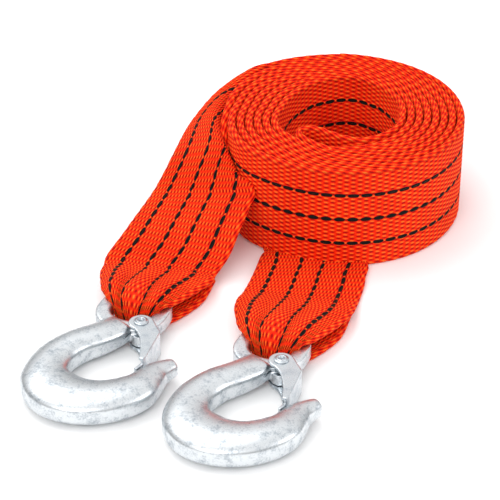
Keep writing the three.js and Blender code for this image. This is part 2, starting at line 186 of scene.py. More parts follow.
def new_material(name, **values):
    """A material with only its surface shader and output, and the shader's values set."""
    material = bpy.data.materials.new(name)
    material.use_nodes = True
    shader = material.node_tree.nodes["Principled BSDF"]
    for key, value in values.items():
        shader.inputs[key.replace("_", " ")].default_value = value
    return material, material.node_tree, shader


def ramp(tree, factor, stops):
    """A colour ramp: stops are (place from 0 to 1, hex colour)."""
    added = node(tree, "ShaderNodeValToRGB", {"Fac": factor})
    elements = added.color_ramp.elements
    while len(elements) < len(stops):
        elements.new(0.5)
    for element, (place, colour) in zip(elements, stops):
        element.position = place
        element.color = linear(colour)
    return added.outputs["Color"]


# %% Floor material
floor_material, tree, shader = new_material("white_paper_sheet", Base_Color=linear("#FAFAFA"), Roughness=0.9)
floor_mesh.materials.append(floor_material)

# %% [markdown]
# ## Polyester webbing
#
# The webbing is woven of thick spun-dyed polyester yarn. Each warp yarn lies over two picks and
# dives under the next, so its surface is rows of small oval bumps, and every other row is moved
# by half a bump. A bump repeats every 5.8 mm along the strap and every 2.2 mm across it. Light
# and shade are painted into the colour from the bumps' height: orange on their tops, deep red
# painted shade in the gaps between them, and a painted highlight on one side of each bump. A few
# of the warp yarns are black: they show as dashed tracer lines. The piece's UV map holds
# millimetres along and across, and the attribute "lane" is a whole number on each tracer line.
# Fine noise of about 0.6 mm stands for the fibres, coarser than real ones so that it shows, and
# wide noise for worn patches.

# %% Webbing material
BUMP_ALONG = 5.8
BUMP_ACROSS = 2.2
LINE_SPACING = 12.0
LINE_HALF_WIDTH = 0.95
DASH_HALF_LENGTH = 2.5

webbing_material, tree, shader = new_material("woven_polyester_webbing", Roughness=0.8)
shader.inputs["Sheen Weight"].default_value = 0.08
shader.inputs["Sheen Roughness"].default_value = 0.4
shader.inputs["Sheen Tint"].default_value = linear("#FFA050")
shader.inputs["Specular IOR Level"].default_value = 0.15

strap_uv = node(tree, "ShaderNodeUVMap", uv_map="strap").outputs["UV"]
places = node(tree, "ShaderNodeSeparateXYZ", {0: strap_uv})
waves = []
for axis, size in (("X", BUMP_ALONG), ("Y", BUMP_ACROSS)):
    turned = node(tree, "ShaderNodeMath", {0: places.outputs[axis], 1: 2 * np.pi / size},
                  operation="MULTIPLY")
    waves.append(node(tree, "ShaderNodeMath", {0: turned.outputs[0]}, operation="COSINE").outputs[0])
both = node(tree, "ShaderNodeMath", {0: waves[0], 1: waves[1]}, operation="MULTIPLY").outputs[0]
yarn_height = node(tree, "ShaderNodeMath", {0: both, 1: 0.5, 2: 0.5}, operation="MULTIPLY_ADD").outputs[0]
fibre = node(tree, "ShaderNodeTexNoise", {"Vector": strap_uv, "Scale": 1.6, "Detail": 3.0}).outputs["Fac"]
patch = node(tree, "ShaderNodeTexNoise", {"Vector": strap_uv, "Scale": 0.06, "Detail": 2.0}).outputs["Fac"]

# A painted highlight on one side of each bump: the same lattice is added again, shifted along and across
sides = [node(tree, "ShaderNodeMath", {0: places.outputs[axis], 1: 2 * np.pi / size, 2: shift},
              operation="MULTIPLY_ADD").outputs[0]
         for axis, size, shift in (("X", BUMP_ALONG, 0.9), ("Y", BUMP_ACROSS, -0.5))]
sides = [node(tree, "ShaderNodeMath", {0: side}, operation="COSINE").outputs[0] for side in sides]
painted_bump_highlight = node(tree, "ShaderNodeMath", {0: sides[0], 1: sides[1]}, operation="MULTIPLY").outputs[0]
# The painted highlight is added to the yarns' height, which also makes the painted shade in the gaps; the
# fibre and patch noise are the yarn's own variation
tone_with_painted_light = node(tree, "ShaderNodeMath", {0: painted_bump_highlight, 1: 0.22, 2: yarn_height},
            operation="MULTIPLY_ADD").outputs[0]
tone_with_painted_light = node(tree, "ShaderNodeMath", {0: fibre, 1: 0.5, 2: tone_with_painted_light}, operation="MULTIPLY_ADD").outputs[0]
tone_with_painted_light = node(tree, "ShaderNodeMath", {0: patch, 1: 0.3, 2: tone_with_painted_light}, operation="MULTIPLY_ADD").outputs[0]
tone_with_painted_light = node(tree, "ShaderNodeMath", {0: tone_with_painted_light, 1: 0.63}, operation="MULTIPLY").outputs[0]
# Painted light: the ramp colours the gaps between bumps deep red as painted shade, the bump tops orange, and
# the painted highlight paler
orange_with_painted_light = ramp(tree, tone_with_painted_light, [(0.2, "#A00000"), (0.4, "#E01400"), (0.7, "#FA3400"), (0.95, "#FF7424")])

# %% Tracer lines of the webbing
lane = node(tree, "ShaderNodeAttribute", attribute_name="lane").outputs["Fac"]
lane = node(tree, "ShaderNodeMath", {0: lane, 1: 0.5}, operation="ADD").outputs[0]
lane = node(tree, "ShaderNodeMath", {0: lane}, operation="FRACT").outputs[0]
lane = node(tree, "ShaderNodeMath", {0: lane, 1: 0.5}, operation="SUBTRACT").outputs[0]
lane = node(tree, "ShaderNodeMath", {0: lane, 1: LINE_SPACING / LINE_HALF_WIDTH},
            operation="MULTIPLY").outputs[0]
lane = node(tree, "ShaderNodeMath", {0: lane, 1: 2.0}, operation="POWER").outputs[0]
run = node(tree, "ShaderNodeMath", {0: places.outputs["X"], 1: 1 / BUMP_ALONG},
           operation="MULTIPLY").outputs[0]
run = node(tree, "ShaderNodeMath", {0: run}, operation="FRACT").outputs[0]
run = node(tree, "ShaderNodeMath", {0: run, 1: 0.5}, operation="SUBTRACT").outputs[0]
run = node(tree, "ShaderNodeMath", {0: run}, operation="ABSOLUTE").outputs[0]
run = node(tree, "ShaderNodeMath", {0: run, 1: BUMP_ALONG / DASH_HALF_LENGTH},
           operation="MULTIPLY").outputs[0]
run = node(tree, "ShaderNodeMath", {0: run, 1: 3.0}, operation="POWER").outputs[0]
dash = node(tree, "ShaderNodeMath", {0: lane, 1: run}, operation="ADD").outputs[0]
dash = node(tree, "ShaderNodeMapRange", {"Value": dash, "From Min": 0.8, "From Max": 1.15,
                                         "To Min": 1.0, "To Max": 0.0}).outputs[0]
colour = node(tree, "ShaderNodeMix", {"Factor": dash, 6: orange_with_painted_light, 7: linear("#0A1010")}, data_type="RGBA")
tree.links.new(colour.outputs[2], shader.inputs["Base Color"])
height = node(tree, "ShaderNodeMath", {0: dash, 1: 0.9, 2: yarn_height}, operation="MULTIPLY_ADD").outputs[0]
height = node(tree, "ShaderNodeMath", {0: fibre, 1: 0.3, 2: height}, operation="MULTIPLY_ADD").outputs[0]
bump = node(tree, "ShaderNodeBump", {"Height": height, "Strength": 0.9, "Distance": 0.0006})
tree.links.new(bump.outputs[0], shader.inputs["Normal"])
print("Webbing:", len(tree.nodes), "nodes")

# %% [markdown]
# ## Zinc-plated steel
#
# The hooks are drop forgings with a bright zinc plate. The forging scale leaves a slightly
# mottled, satin skin, so the highlight is broad and the roughness changes from place to place.
# The latch is pressed from sheet and plated the same way, so it is smoother. The rivet is turned,
# and the spring is oiled drawn wire, which is darker. A metal keeps its default IOR.

# %% Metal materials
# The forging scale's patches are about 4 mm wide
CLOUDS_PER_METRE = 260.0


def plated(name, pale, dark, roughness, grain_mm, grain_height_mm):
    """Plated steel: noise of the grain's size and of a larger cloud's size mixes two greys and changes
    the roughness, and the grain dents the skin."""
    material, tree, shader = new_material(name, Metallic=1.0)
    place = node(tree, "ShaderNodeTexCoord").outputs["Object"]
    grain = node(tree, "ShaderNodeTexNoise", {"Vector": place, "Scale": 1000 / grain_mm, "Detail": 4.0})
    grain = grain.outputs["Fac"]
    cloud = node(tree, "ShaderNodeTexNoise", {"Vector": place, "Scale": CLOUDS_PER_METRE, "Detail": 3.0})
    cloud = cloud.outputs["Fac"]
    mixed = node(tree, "ShaderNodeMath", {0: grain, 1: 0.8, 2: cloud}, operation="MULTIPLY_ADD").outputs[0]
    tree.links.new(ramp(tree, mixed, [(0.55, dark), (0.95, pale)]), shader.inputs["Base Color"])
    rough = node(tree, "ShaderNodeMapRange", {"Value": mixed, "From Min": 0.6, "From Max": 1.2,
                                              "To Min": roughness + 0.1, "To Max": roughness - 0.08})
    tree.links.new(rough.outputs[0], shader.inputs["Roughness"])
    dents = node(tree, "ShaderNodeBump", {"Height": grain, "Strength": 0.5,
                                          "Distance": grain_height_mm / 1000})
    tree.links.new(dents.outputs[0], shader.inputs["Normal"])
    return material


forging_material = plated("zinc_plated_forging", "#DDE1E4", "#9FA8B0", 0.34, 0.8, 0.09)
sheet_material = plated("zinc_plated_pressed_sheet", "#D8DDE1", "#AEB8C0", 0.30, 0.6, 0.03)
rivet_material = plated("zinc_plated_turned_rivet", "#C6CCD1", "#98A2AA", 0.4, 0.5, 0.01)
spring_material = plated("oiled_spring_wire", "#98A2A8", "#5C666D", 0.3, 0.5, 0.01)

# %% [markdown]
# ## From grids of points to meshes
#
# Every new piece is a grid: a function of two numbers gives each point, and neighbouring points
# make the faces. A ribbon of webbing starts as its middle surface. Its two faces lie half the
# thickness on either side, and its edges are rounded like a real selvedge.

# %% Mesh helpers
def curve_through(points, t):
    """Centripetal Catmull-Rom: each span is a cubic, and its end slopes are weighted by the square
    root of the distances between the points."""
    p = np.asarray(points, float)
    p = np.vstack([2 * p[0] - p[1], p, 2 * p[-1] - p[-2]])
    place = np.clip(t, 0, 1) * (len(p) - 3)
    i = np.minimum(place.astype(int), len(p) - 4)
    w = (place - i)[:, None]
    x0, x1, x2, x3 = p[i], p[i + 1], p[i + 2], p[i + 3]
    d0, d1, d2 = [np.maximum(np.linalg.norm(b - a, axis=1), 1e-6)[:, None] ** 0.5
                  for a, b in ((x0, x1), (x1, x2), (x2, x3))]
    slope1 = ((x1 - x0) / d0 - (x2 - x0) / (d0 + d1) + (x2 - x1) / d1) * d1
    slope2 = ((x2 - x1) / d1 - (x3 - x1) / (d1 + d2) + (x3 - x2) / d2) * d1
    return ((2 * x1 - 2 * x2 + slope1 + slope2) * w ** 3
            + (3 * x2 - 3 * x1 - 2 * slope1 - slope2) * w ** 2 + slope1 * w + x1)


def unit(vectors):
    return vectors / np.maximum(np.linalg.norm(vectors, axis=-1, keepdims=True), 1e-12)


def smoothstep(x, start, end):
    t = np.clip((x - start) / (end - start), 0, 1)
    return t * t * (3 - 2 * t)


def add_piece(name, parts, material):
    """Joins parts, each (points in mm, faces, uv per face corner or None, lane per point or None)."""
    points = np.concatenate([p for p, _, _, _ in parts])
    starts = np.cumsum([0] + [len(p) for p, _, _, _ in parts[:-1]])
    loops, sizes, corner_uv = [], [], []
    for start, (_, faces, uv, _) in zip(starts, parts):
        for group in faces:
            group = np.asarray(group)
            loops.append((group + start).ravel())
            sizes.append(np.full(len(group), group.shape[1]))
        if uv is not None:
            corner_uv.append(uv.reshape(-1, 2))
    loops, sizes = np.concatenate(loops), np.concatenate(sizes)
    mesh = bpy.data.meshes.new(name)
    mesh.vertices.add(len(points))
    mesh.vertices.foreach_set("co", metres(points).astype(np.float32).ravel())
    mesh.loops.add(len(loops))
    mesh.loops.foreach_set("vertex_index", loops.astype(np.int32))
    mesh.polygons.add(len(sizes))
    mesh.polygons.foreach_set("loop_start", (np.cumsum(sizes) - sizes).astype(np.int32))
    mesh.polygons.foreach_set("loop_total", sizes.astype(np.int32))
    mesh.update(calc_edges=True)
    mesh.polygons.foreach_set("use_smooth", np.full(len(sizes), True))
    if corner_uv:
        layer = mesh.uv_layers.new(name="strap")
        layer.data.foreach_set("uv", np.concatenate(corner_uv).astype(np.float32).ravel())
    if parts[0][3] is not None:
        lane = mesh.attributes.new("lane", "FLOAT", "POINT")
        lane.data.foreach_set("value", np.concatenate([x for _, _, _, x in parts]).astype(np.float32))
    mesh.validate()
    mesh.materials.append(material)
    obj = link(bpy.data.objects.new(name, mesh))
    print(f"{name}: {len(points)} points, {len(sizes)} faces")
    return obj


def grid_faces(rows, columns, wrap_rows=False, wrap_columns=False):
    """Quads between neighbouring rows and columns of a grid whose point numbers run along each row."""
    row, column = np.arange(rows - (not wrap_rows)), np.arange(columns - (not wrap_columns))
    i, j = np.meshgrid(row, column, indexing="ij")
    i2, j2 = (i + 1) % rows, (j + 1) % columns
    corners = [i * columns + j, i2 * columns + j, i2 * columns + j2, i * columns + j2]
    return np.stack(corners, -1).reshape(-1, 4)


# %% [markdown]
# A ribbon's rows run along the strap. Each row is one loop round the section: up the outer face,
# over the top selvedge, down the inner face and under the bottom selvedge. The UV map follows
# that loop in millimetres, so the weave runs on round the edges. A face with many columns gets
# the weave as real relief, and a hidden face needs only a few.

# %% Ribbon helper
EDGE_STEPS = 5
EDGE_REACH = 1.6
EDGE_LENGTH = 4.0
RELIEF = 0.42
# Columns of a face that shows and of one that doesn't
FINE, COARSE = 91, 9
# Tracer lines in mm from the low edge: three show on the roll and four on the ends
ROLL_LINES = [12.5, 25.0, 37.5]
END_LINES = [9.3, 20.7, 30.5, 41.8]


def weave_height(length, around):
    """Height of the yarns from 0 to 1: the product of two cosines gives a staggered lattice of ovals."""
    both = np.cos(2 * np.pi * length / BUMP_ALONG) * np.cos(2 * np.pi * around / BUMP_ACROSS)
    return 1 - ((1 - both) / 2) ** 2


def lane_numbers(across, lines):
    """Whole numbers on the lines, in mm from the low edge, with a straight run between them."""
    numbers = np.arange(1, len(lines) + 1)
    return np.interp(across, [lines[0] - 7, *lines, lines[-1] + 7], [0.42, *numbers, len(lines) + 0.58])


def ribbon(surface, length, thickness, outer=(COARSE, ROLL_LINES, 1), inner=(COARSE, ROLL_LINES, 1)):
    """A closed ribbon round a middle surface.

    surface(across): the middle's points [row, column, xyz] at those mm from the low edge;
    length: mm along the strap of each row; thickness: mm of each row;
    outer, inner: columns and tracer lines of each face, and how much narrower its bumps are.
    Each face lies half the thickness from the middle along the normal, the cross product of the
    directions along and across. Each edge is half an ellipse that reaches past the last column,
    and the weave slips along by one bump on its way over the edge, which slants the strokes there.
    """
    rows = len(length)
    half = (np.broadcast_to(thickness, rows) / 2 - RELIEF / 2)[:, None, None]
    loops, around, lanes = [], [], []
    place, slip, slips = 0.0, 0.0, []
    for sign, (columns, lines, fineness) in ((1, outer), (-1, inner)):
        across = np.linspace(EDGE_REACH, WIDTH - EDGE_REACH, columns)
        middle = surface(across)
        along = unit(np.gradient(middle, axis=0))
        side = unit(np.gradient(middle, axis=1))
        normal = unit(np.cross(along, side))
        v = place + (across - EDGE_REACH) * fineness
        order = slice(None, None, sign)
        woven = weave_height(length[:, None], v[order])
        relief = RELIEF * (woven if columns > COARSE else np.full_like(woven, 0.5))
        face = middle + sign * normal * (half + relief[:, :, None])
        turn = (np.arange(1, EDGE_STEPS + 1) / (EDGE_STEPS + 1) * np.pi)[None, :, None]
        last = -1 if sign > 0 else 0
        place += (WIDTH - 2 * EDGE_REACH) * fineness
        edge_v = place + turn[0, :, 0] / np.pi * EDGE_LENGTH
        edge_slip = slip + turn[0, :, 0] / np.pi * BUMP_ALONG
        swell = RELIEF * 0.4 * weave_height(length[:, None] + edge_slip, edge_v)[:, :, None]
        edge = (middle[:, last][:, None] + side[:, last][:, None] * sign * (EDGE_REACH + swell) * np.sin(turn)
                + normal[:, last][:, None] * sign * (half + swell) * np.cos(turn))
        loops += [face[:, order], edge]
        around += [v, edge_v]
        lanes += [lane_numbers(across, lines)[order], np.full(EDGE_STEPS, 0.42)]
        slips += [np.full(columns, slip), edge_slip]
        place += EDGE_LENGTH
        slip += BUMP_ALONG
    points = np.concatenate(loops, axis=1)
    points[..., 2] = np.maximum(points[..., 2], 0.1)
    v = np.append(np.concatenate(around), place)
    slips = np.append(np.concatenate(slips), slip)
    columns = points.shape[1]
    i, j = np.meshgrid(np.arange(rows - 1), np.arange(columns), indexing="ij")
    corners = [(i, j), (i + 1, j), (i + 1, j + 1), (i, j + 1)]
    uv = np.stack([np.stack([length[a] + slips[b], v[b]], -1) for a, b in corners], 2)
    first = np.arange(columns)
    caps = [first[None], (first + (rows - 1) * columns)[None, ::-1]]
    cap_uv = [np.stack([np.full(columns, length[0]), v[:-1]], -1),
              np.stack([np.full(columns, length[-1]), v[:-1]], -1)[::-1]]
    all_uv = np.concatenate([uv.reshape(-1, 2), *cap_uv])
    lane = np.tile(np.concatenate(lanes), rows)
    faces = grid_faces(rows, columns, wrap_columns=True)
    return points.reshape(-1, 3), [faces, *caps], all_uv, lane


def even_rows(points, step):
    """Fractional row numbers that lie evenly spaced along the line of points, and the lengths there."""
    run = np.append(0, np.cumsum(np.linalg.norm(np.diff(points, axis=0), axis=1)))
    length = np.linspace(0, run[-1], max(int(run[-1] / step), 2))
    return np.interp(length, run, np.arange(len(run))), length


# %% [markdown]
# ## The roll
#
# Seen from above the two strands are spirals that start at the fold, at 215 degrees round the
# roll. Each full turn moves a strand out by two layers, and it does so in the short stretch
# before the fold, where the inner turns have to climb over the folded end. Elsewhere the layers
# share the room between the bore and the outside evenly. The bore isn't quite round: its edge
# was measured on the photograph every 10 to 45 degrees.

# %% Where each layer of the roll lies
FOLD_ANGLE = 215.0
LAYERS = 8
CLIMB_FROM, CLIMB_TO = 310.0, 367.0
ROLL_EDGES = np.array([
    [0, 25.2, 55.2], [45, 28.3, 55.2], [73, 31.6, 55.3], [91, 31.6, 55.9], [117, 29.2, 57.4],
    [139, 27.2, 58.6], [165, 26.8, 58.9], [185, 27.2, 58.7], [206, 25.2, 57.4], [220, 24.0, 56.2],
    [230, 24.6, 55.6], [240, 26.7, 55.3], [255, 29.4, 55.2], [275, 28.9, 55.1], [300, 27.0, 55.1],
    [335, 25.4, 55.1],
])


def bore_and_outside(angle):
    """Radii of the bore's edge and the outside at an angle: a smooth periodic curve through the table."""
    table = np.vstack([ROLL_EDGES[-2:] - [360, 0, 0], ROLL_EDGES, ROLL_EDGES[:2] + [360, 0, 0]])
    fine = curve_through(table, np.linspace(0, 1, 800))
    angle = np.mod(angle, 360)
    return np.interp(angle, fine[:, 0], fine[:, 1]), np.interp(angle, fine[:, 0], fine[:, 2])


def strand(turned, layer):
    """x, y and pitch of a strand's middle. It has turned so many degrees from the fold, where it lay on
    the given layer: radius is the bore's edge plus layers times pitch."""
    climbed = sum(smoothstep(turned, CLIMB_FROM + 360 * n, CLIMB_TO + 360 * n) for n in range(5))
    inside, outside = bore_and_outside(FOLD_ANGLE + turned)
    pitch = (outside - inside) / LAYERS
    radius = inside + (layer + 0.5 + 2 * climbed) * pitch
    angle = np.radians(FOLD_ANGLE + turned)
    return np.stack([radius * np.cos(angle), radius * np.sin(angle), pitch], -1)


# The bend of the fold and the inner strand's first stretch, as points on its middle
FOLD_PITCH = 3.5
FOLD_POINTS = np.array([
    [-5.5, -34.6], [-10.4, -31.9], [-14.8, -28.3], [-18.4, -24.4], [-20.8, -20.4],
    [-20.4, -16.9], [-17.6, -15.1], [-13.9, -15.2], [-10.6, -16.6], [-5.5, -21.0],
    [2.2, -24.9], [8.2, -25.2], [13.4, -23.3], [18.6, -19.6], [22.9, -14.6], [25.6, -8.7],
])
OUTER_STRAND, INNER_STRAND = 1, 0
OUTER_JOINS_FOLD, INNER_JOINS_FOLD = 40.0, 150.0


def fold_rows(outer_from, inner_to):
    """The strap's middle from the outer strand in through the fold and out along the inner strand."""
    arriving = strand(np.arange(outer_from, OUTER_JOINS_FOLD, -1.0), OUTER_STRAND)
    leaving = strand(np.arange(INNER_JOINS_FOLD, inner_to, 1.0), INNER_STRAND)
    bend = np.column_stack([FOLD_POINTS, np.full(len(FOLD_POINTS), FOLD_PITCH)])
    bend = np.vstack([arriving[-2:], bend, leaving[:2]])
    spans = len(bend) - 1
    bend = curve_through(bend, np.linspace(0, 1, 400))
    between = slice(len(bend) // spans, -(len(bend) // spans))
    return np.vstack([arriving, bend[between], leaving])


def lift(x, y):
    """Height of the roll's foot. The right end lies under its front left, so a bell curve raises it
    there, and a product of two sines makes no turn quite level."""
    off = (np.degrees(np.arctan2(y, x)) - 250 + 180) % 360 - 180
    return 0.6 * np.exp(-(off / 60) ** 2) + 0.25 * np.sin(2.1 * np.hypot(x, y)) * np.sin(x / 21 + 1)


def roll_ribbon(rows, ends_at=None, starts_at=0.0, **faces):
    """Webbing on edge along rows of x, y and pitch. It leans out by a hair towards its top. The
    length along the strap starts at starts_at, or ends at ends_at where that is given."""
    at, length = even_rows(rows[:, :2], STEP)
    length = length + (starts_at if ends_at is None else ends_at - length[-1])
    x, y, pitch = [np.interp(at, np.arange(len(rows)), rows[:, k]) for k in range(3)]
    foot = lift(x, y)

    def surface(across):
        lean = 1 + LEAN * (across[None] / WIDTH - 0.5)
        height = np.broadcast_to(across[None] + foot[:, None], (len(x), len(across)))
        return np.stack([x[:, None] * lean, y[:, None] * lean, height], -1)

    return ribbon(surface, length, pitch - GAP, **faces), length


def webbing_piece(name, *made):
    """One piece of webbing from ribbons, each given with its lengths."""
    piece = add_piece(name, [grid for grid, _ in made], webbing_material)
    return piece


# %% [markdown]
# Each strand is cut into ribbons where one face comes into view: the bore's first turn, the
# outermost turn and the start of the right end. Only a face that shows gets the fine columns.
# All angles here are degrees turned from the fold.

# %% Turns of the roll
LEAVES_LEFT = 1315.0
LEAVES_RIGHT = 1390.0
BORE_TURN = 380.0
LAST_TURN = LEAVES_LEFT - 360
RIGHT_SHOWS = 1270.0
OUTER_STARTS = 70.0
# Gap between two turns and spacing of a ribbon's rows in mm, and the lean as a share of the radius
GAP = 0.5
STEP = 0.73
LEAN = 0.012
FINE_ROLL = (FINE, ROLL_LINES, 1)


def turns(start, end, layer):
    return strand(np.arange(start, end + 0.5, 1.0), layer)


outer_last = roll_ribbon(turns(LAST_TURN, LEAVES_LEFT, OUTER_STRAND), ends_at=0, outer=FINE_ROLL)
outer_inside = roll_ribbon(turns(OUTER_STARTS, LAST_TURN, OUTER_STRAND), ends_at=outer_last[1][0])
inner_first = roll_ribbon(fold_rows(OUTER_STARTS, BORE_TURN + 0.5), inner=FINE_ROLL)
inner_inside = roll_ribbon(turns(BORE_TURN, RIGHT_SHOWS, INNER_STRAND), starts_at=inner_first[1][-1])
inner_last = roll_ribbon(turns(RIGHT_SHOWS, LEAVES_RIGHT, INNER_STRAND), starts_at=inner_inside[1][-1],
                         outer=FINE_ROLL)
roll = webbing_piece("webbing_inner_turns", outer_inside, inner_inside)
bore_turn = webbing_piece("webbing_fold_and_first_turn", inner_first)
outer_turn = webbing_piece("webbing_outermost_turn", outer_last)
right_start = webbing_piece("webbing_right_start", inner_last)

# %% [markdown]
# ## The two ends
#
# The left end peels off the back of the roll. Its top folds over outwards, and it comes down to
# the floor as it passes the left side. The right end leaves the left side too, but it turns flat
# under the roll and comes out at the front. Near its hook each end narrows, drapes over the eye,
# dives into it, goes round the far bar and comes back flat underneath. A section of an end is
# bent once: straight from the low edge to the bend, and straight on from there to the high edge.

# %% Routes of the ends
STRAND_RADIUS = 56.4
# The left end where it peels off: angle, heights of its bend and its low edge, and its high edge
LEFT_LEAVING = [
    [128, 50, 0, [-35.2, 44.6, 50]],
    [151, 50, 8, [-54, 32.5, 46.1]],
    [177, 50, 19.5, [-69.2, 11.6, 38.3]],
    [203, 47, 26, [-77.1, -12.4, 35.5]],
    [214.5, 39.5, 30.1, [-82.8, -19.1, 26.6]],
]
LEFT_LYING_LOW = [
    [-41.2, -38.5, 31.3], [-43.6, -46.4, 25.5], [-47.8, -54.2, 18.7],
    [-52.1, -61.7, 10.8], [-58.5, -69.7, 4.7],
]
LEFT_LYING_HIGH = [
    [-87.3, -23.8, 20.5], [-90.9, -31, 18.6], [-95.6, -39.9, 16.2],
    [-100.5, -48.8, 13.4], [-107.1, -57.9, 8.2],
]
# Low edge, bend and high edge of the right end where it turns flat, each as radius, angle and height
RIGHT_TURNING = [
    [(47, 186, 1.3), (55.2, 186, 1.7), (55.6, 186, 43)],
    [(38, 204, 1.3), (55.6, 204, 1.7), (56, 204, 30)],
    [(31, 226, 1.3), (53.5, 219, 1.6), (53.5, 216, 10)],
    [(29.5, 256, 1.3), (54.5, 232, 1.6), (55.5, 229, 1.8)],
]
RIGHT_LYING_LOW = [[7, -46, 1.5], [8.5, -66, 1.5], [4.8, -85, 1.6]]
RIGHT_LYING_HIGH = [[-38.4, -50, 1.8], [-42.7, -67, 1.6], [-46.4, -80, 2.6]]
EYE_FAR_BAR = -22.0
EYE_OFFSET = -9.0
# Low edge's place behind the far bar and sideways, the same of the high edge, height,
# droop of the edges, pleats, bow of the middle and crowding of the edges, in mm
EYE_ROWS = [
    [27, 21.5, 20, -29, 7.2, 0.5, 0.3, 0, 0], [14, 20.2, 11, -26.3, 10.6, 2, 0.6, 0, 0],
    [5, 18, 3, -22, 13.4, 3.6, 0.8, 0, 0.2], [-2, 15.6, -3, -18.2, 14.4, 4.2, 0.8, 1, 0.6],
    [-7, 12.4, -7.5, -13.2, 12.8, 2.2, 0.6, 2.4, 1], [-9, 9.8, -9, -9.8, 8.4, 0.2, 0.4, 3, 1],
    [-8.6, 9, -8.6, -8.9, 4.2, 0, 0.2, 2.6, 1], [-7.6, 9.6, -7.6, -9, 1.6, 0, 0, 1.2, 0.6],
    [-3, 13.5, -3, -12, 1.5, 0, 0, 0, 0], [7, 18, 7, -18, 1.5, 0, 0, 0, 0],
    [18, 20.5, 16, -23, 1.5, 0, 0, 0, 0], [34, 19, 27, -27, 1.5, 0, 0, 0, 0],
]


def polar(radius, angle, height):
    return [radius * np.cos(np.radians(angle)), radius * np.sin(np.radians(angle)), height]


def eye_controls(rivet):
    """Control rows round the eye: low edge, bend and high edge, then droop, pleats, bow and crowding."""
    rows = []
    for low_behind, low_side, high_behind, high_side, height, *shape in EYE_ROWS:
        low = hook_place(rivet, EYE_FAR_BAR - low_behind, EYE_OFFSET + low_side, height)
        high = hook_place(rivet, EYE_FAR_BAR - high_behind, EYE_OFFSET + high_side, height)
        rows.append([*low, *low, *high, *shape])
    return rows


def on_edge(turned, layer):
    """Low and high point of the webbing where it still stands in the roll, leaning out by a hair."""
    x, y, _ = strand(np.array([turned]), layer)[0]
    low, high = 1 - LEAN / 2, 1 + LEAN / 2
    return [x * low, y * low, 0], [x * high, y * high, WIDTH]


# No droop, pleats, bow or crowding
PLAIN = [0, 0, 0, 0]


def left_controls():
    """Control rows of the left end: two on the roll, then the leaving, the lying and the eye's rows."""
    rows = []
    for turned in (LEAVES_LEFT - 20, LEAVES_LEFT):
        low, high = on_edge(turned, OUTER_STRAND)
        rows.append([*low, *high[:2], WIDTH - 0.1, *high, *PLAIN])
    for angle, bend, low, high in LEFT_LEAVING:
        rows.append([*polar(STRAND_RADIUS, angle, low), *polar(STRAND_RADIUS, angle, bend), *high, *PLAIN])
    for low, high in zip(LEFT_LYING_LOW, LEFT_LYING_HIGH):
        rows.append([*low, *low, *high, *PLAIN])
    return np.array(rows + eye_controls(LEFT_RIVET), float)


def right_controls():
    """Control rows of the right end: two on the roll, then the turning, the lying and the eye's rows."""
    rows = []
    for turned in (LEAVES_RIGHT - 12, LEAVES_RIGHT):
        low, high = on_edge(turned, INNER_STRAND)
        rows.append([*low, *low[:2], 0.1, *high, *PLAIN])
    for low, bend, high in RIGHT_TURNING:
        rows.append([*polar(*low), *polar(*bend), *polar(*high), *PLAIN])
    for low, high in zip(RIGHT_LYING_LOW, RIGHT_LYING_HIGH):
        rows.append([*low, *low, *high, *PLAIN])
    return np.array(rows + eye_controls(RIGHT_RIVET), float)


# %% [markdown]
# The control rows are joined by smooth curves, and every row between them is a bent line. The
# droop lets the side edges sink, the pleats gather the webbing where it dives into the eye, and
# the bow pushes its middle towards the hook.

# %% Surfaces of the ends
BEND_ROUNDING = 8.0
END_THICKNESS = 2.7
END_FINENESS = 1.4
LEFT_SPLIT_ROW, RIGHT_SPLIT_ROW = 11, 8
PLEATS = 3.5


def bent_section(low, bend, high, share):
    """Point at a share of the way across: a hyperbola rounds the corner between the two straights."""
    low_length = np.linalg.norm(bend - low, axis=-1, keepdims=True)
    high_length = np.linalg.norm(high - bend, axis=-1, keepdims=True)
    from_bend = share[None] * (low_length + high_length) - low_length
    rounding = np.minimum(BEND_ROUNDING, np.minimum(low_length, high_length))
    past = (from_bend + np.hypot(from_bend, rounding)) / 2
    low_way, high_way = unit(bend - low)[:, None], unit(high - bend)[:, None]
    return bend[:, None] + low_way * (from_bend - past)[..., None] + high_way * past[..., None]


def end_surface(controls, t):
    """Middle surface of an end: the bent section, drooped at its edges, pleated and bowed at the eye."""
    rows = curve_through(controls, t)
    low, bend, high = rows[:, 0:3], rows[:, 3:6], rows[:, 6:9]
    droop, pleat, bow, crowding = [rows[:, k:k + 1] for k in range(9, 13)]

    def surface(across):
        share = across / WIDTH
        points = bent_section(low, bend, high, share)
        side = (2 * share - 1)[None]
        off = np.abs(side)
        outward = np.sign(side) * (off ** 0.65 - off) * crowding / 2
        points += outward[..., None] * (high - low)[:, None]
        points[..., 2] -= droop * off ** 4
        points[..., 2] += pleat * np.cos(2 * np.pi * (PLEATS * share[None] + 0.15))
        forward = hook_place(np.zeros(2), 1, 0, 0)
        points += (bow * (1 - off ** 2))[..., None] * forward
        points[..., 2] = np.maximum(points[..., 2], 1.3)
        return points

    return surface


def end_pieces(name, controls, split_row, first_thickness, starts_at):
    """The end as two ribbons that meet at a control row: the tail, and the part round the eye."""
    first = 1 / (len(controls) - 1)
    fine_t = np.linspace(first, 1, 1500)
    middle = end_surface(controls, fine_t)(np.array([WIDTH / 2]))[:, 0]
    at, length = even_rows(middle, STEP)
    t = np.interp(at, np.arange(len(fine_t)), fine_t)
    split = int(np.searchsorted(t, split_row * first))
    thickness = first_thickness + (END_THICKNESS - first_thickness) * smoothstep(length, 0, 60)
    length = length + starts_at
    whole = end_surface(controls, t)
    pieces = []
    for part, rows in (("tail", slice(0, split + 1)), ("eye_wrap", slice(split, None))):
        grid = ribbon(lambda across, rows=rows: whole(across)[rows], length[rows], thickness[rows],
                      outer=(FINE // 2 + 1, ROLL_LINES, 1), inner=(FINE, END_LINES, END_FINENESS))
        pieces.append(webbing_piece(f"webbing_{name}_{part}", (grid, length[rows])))
    return pieces


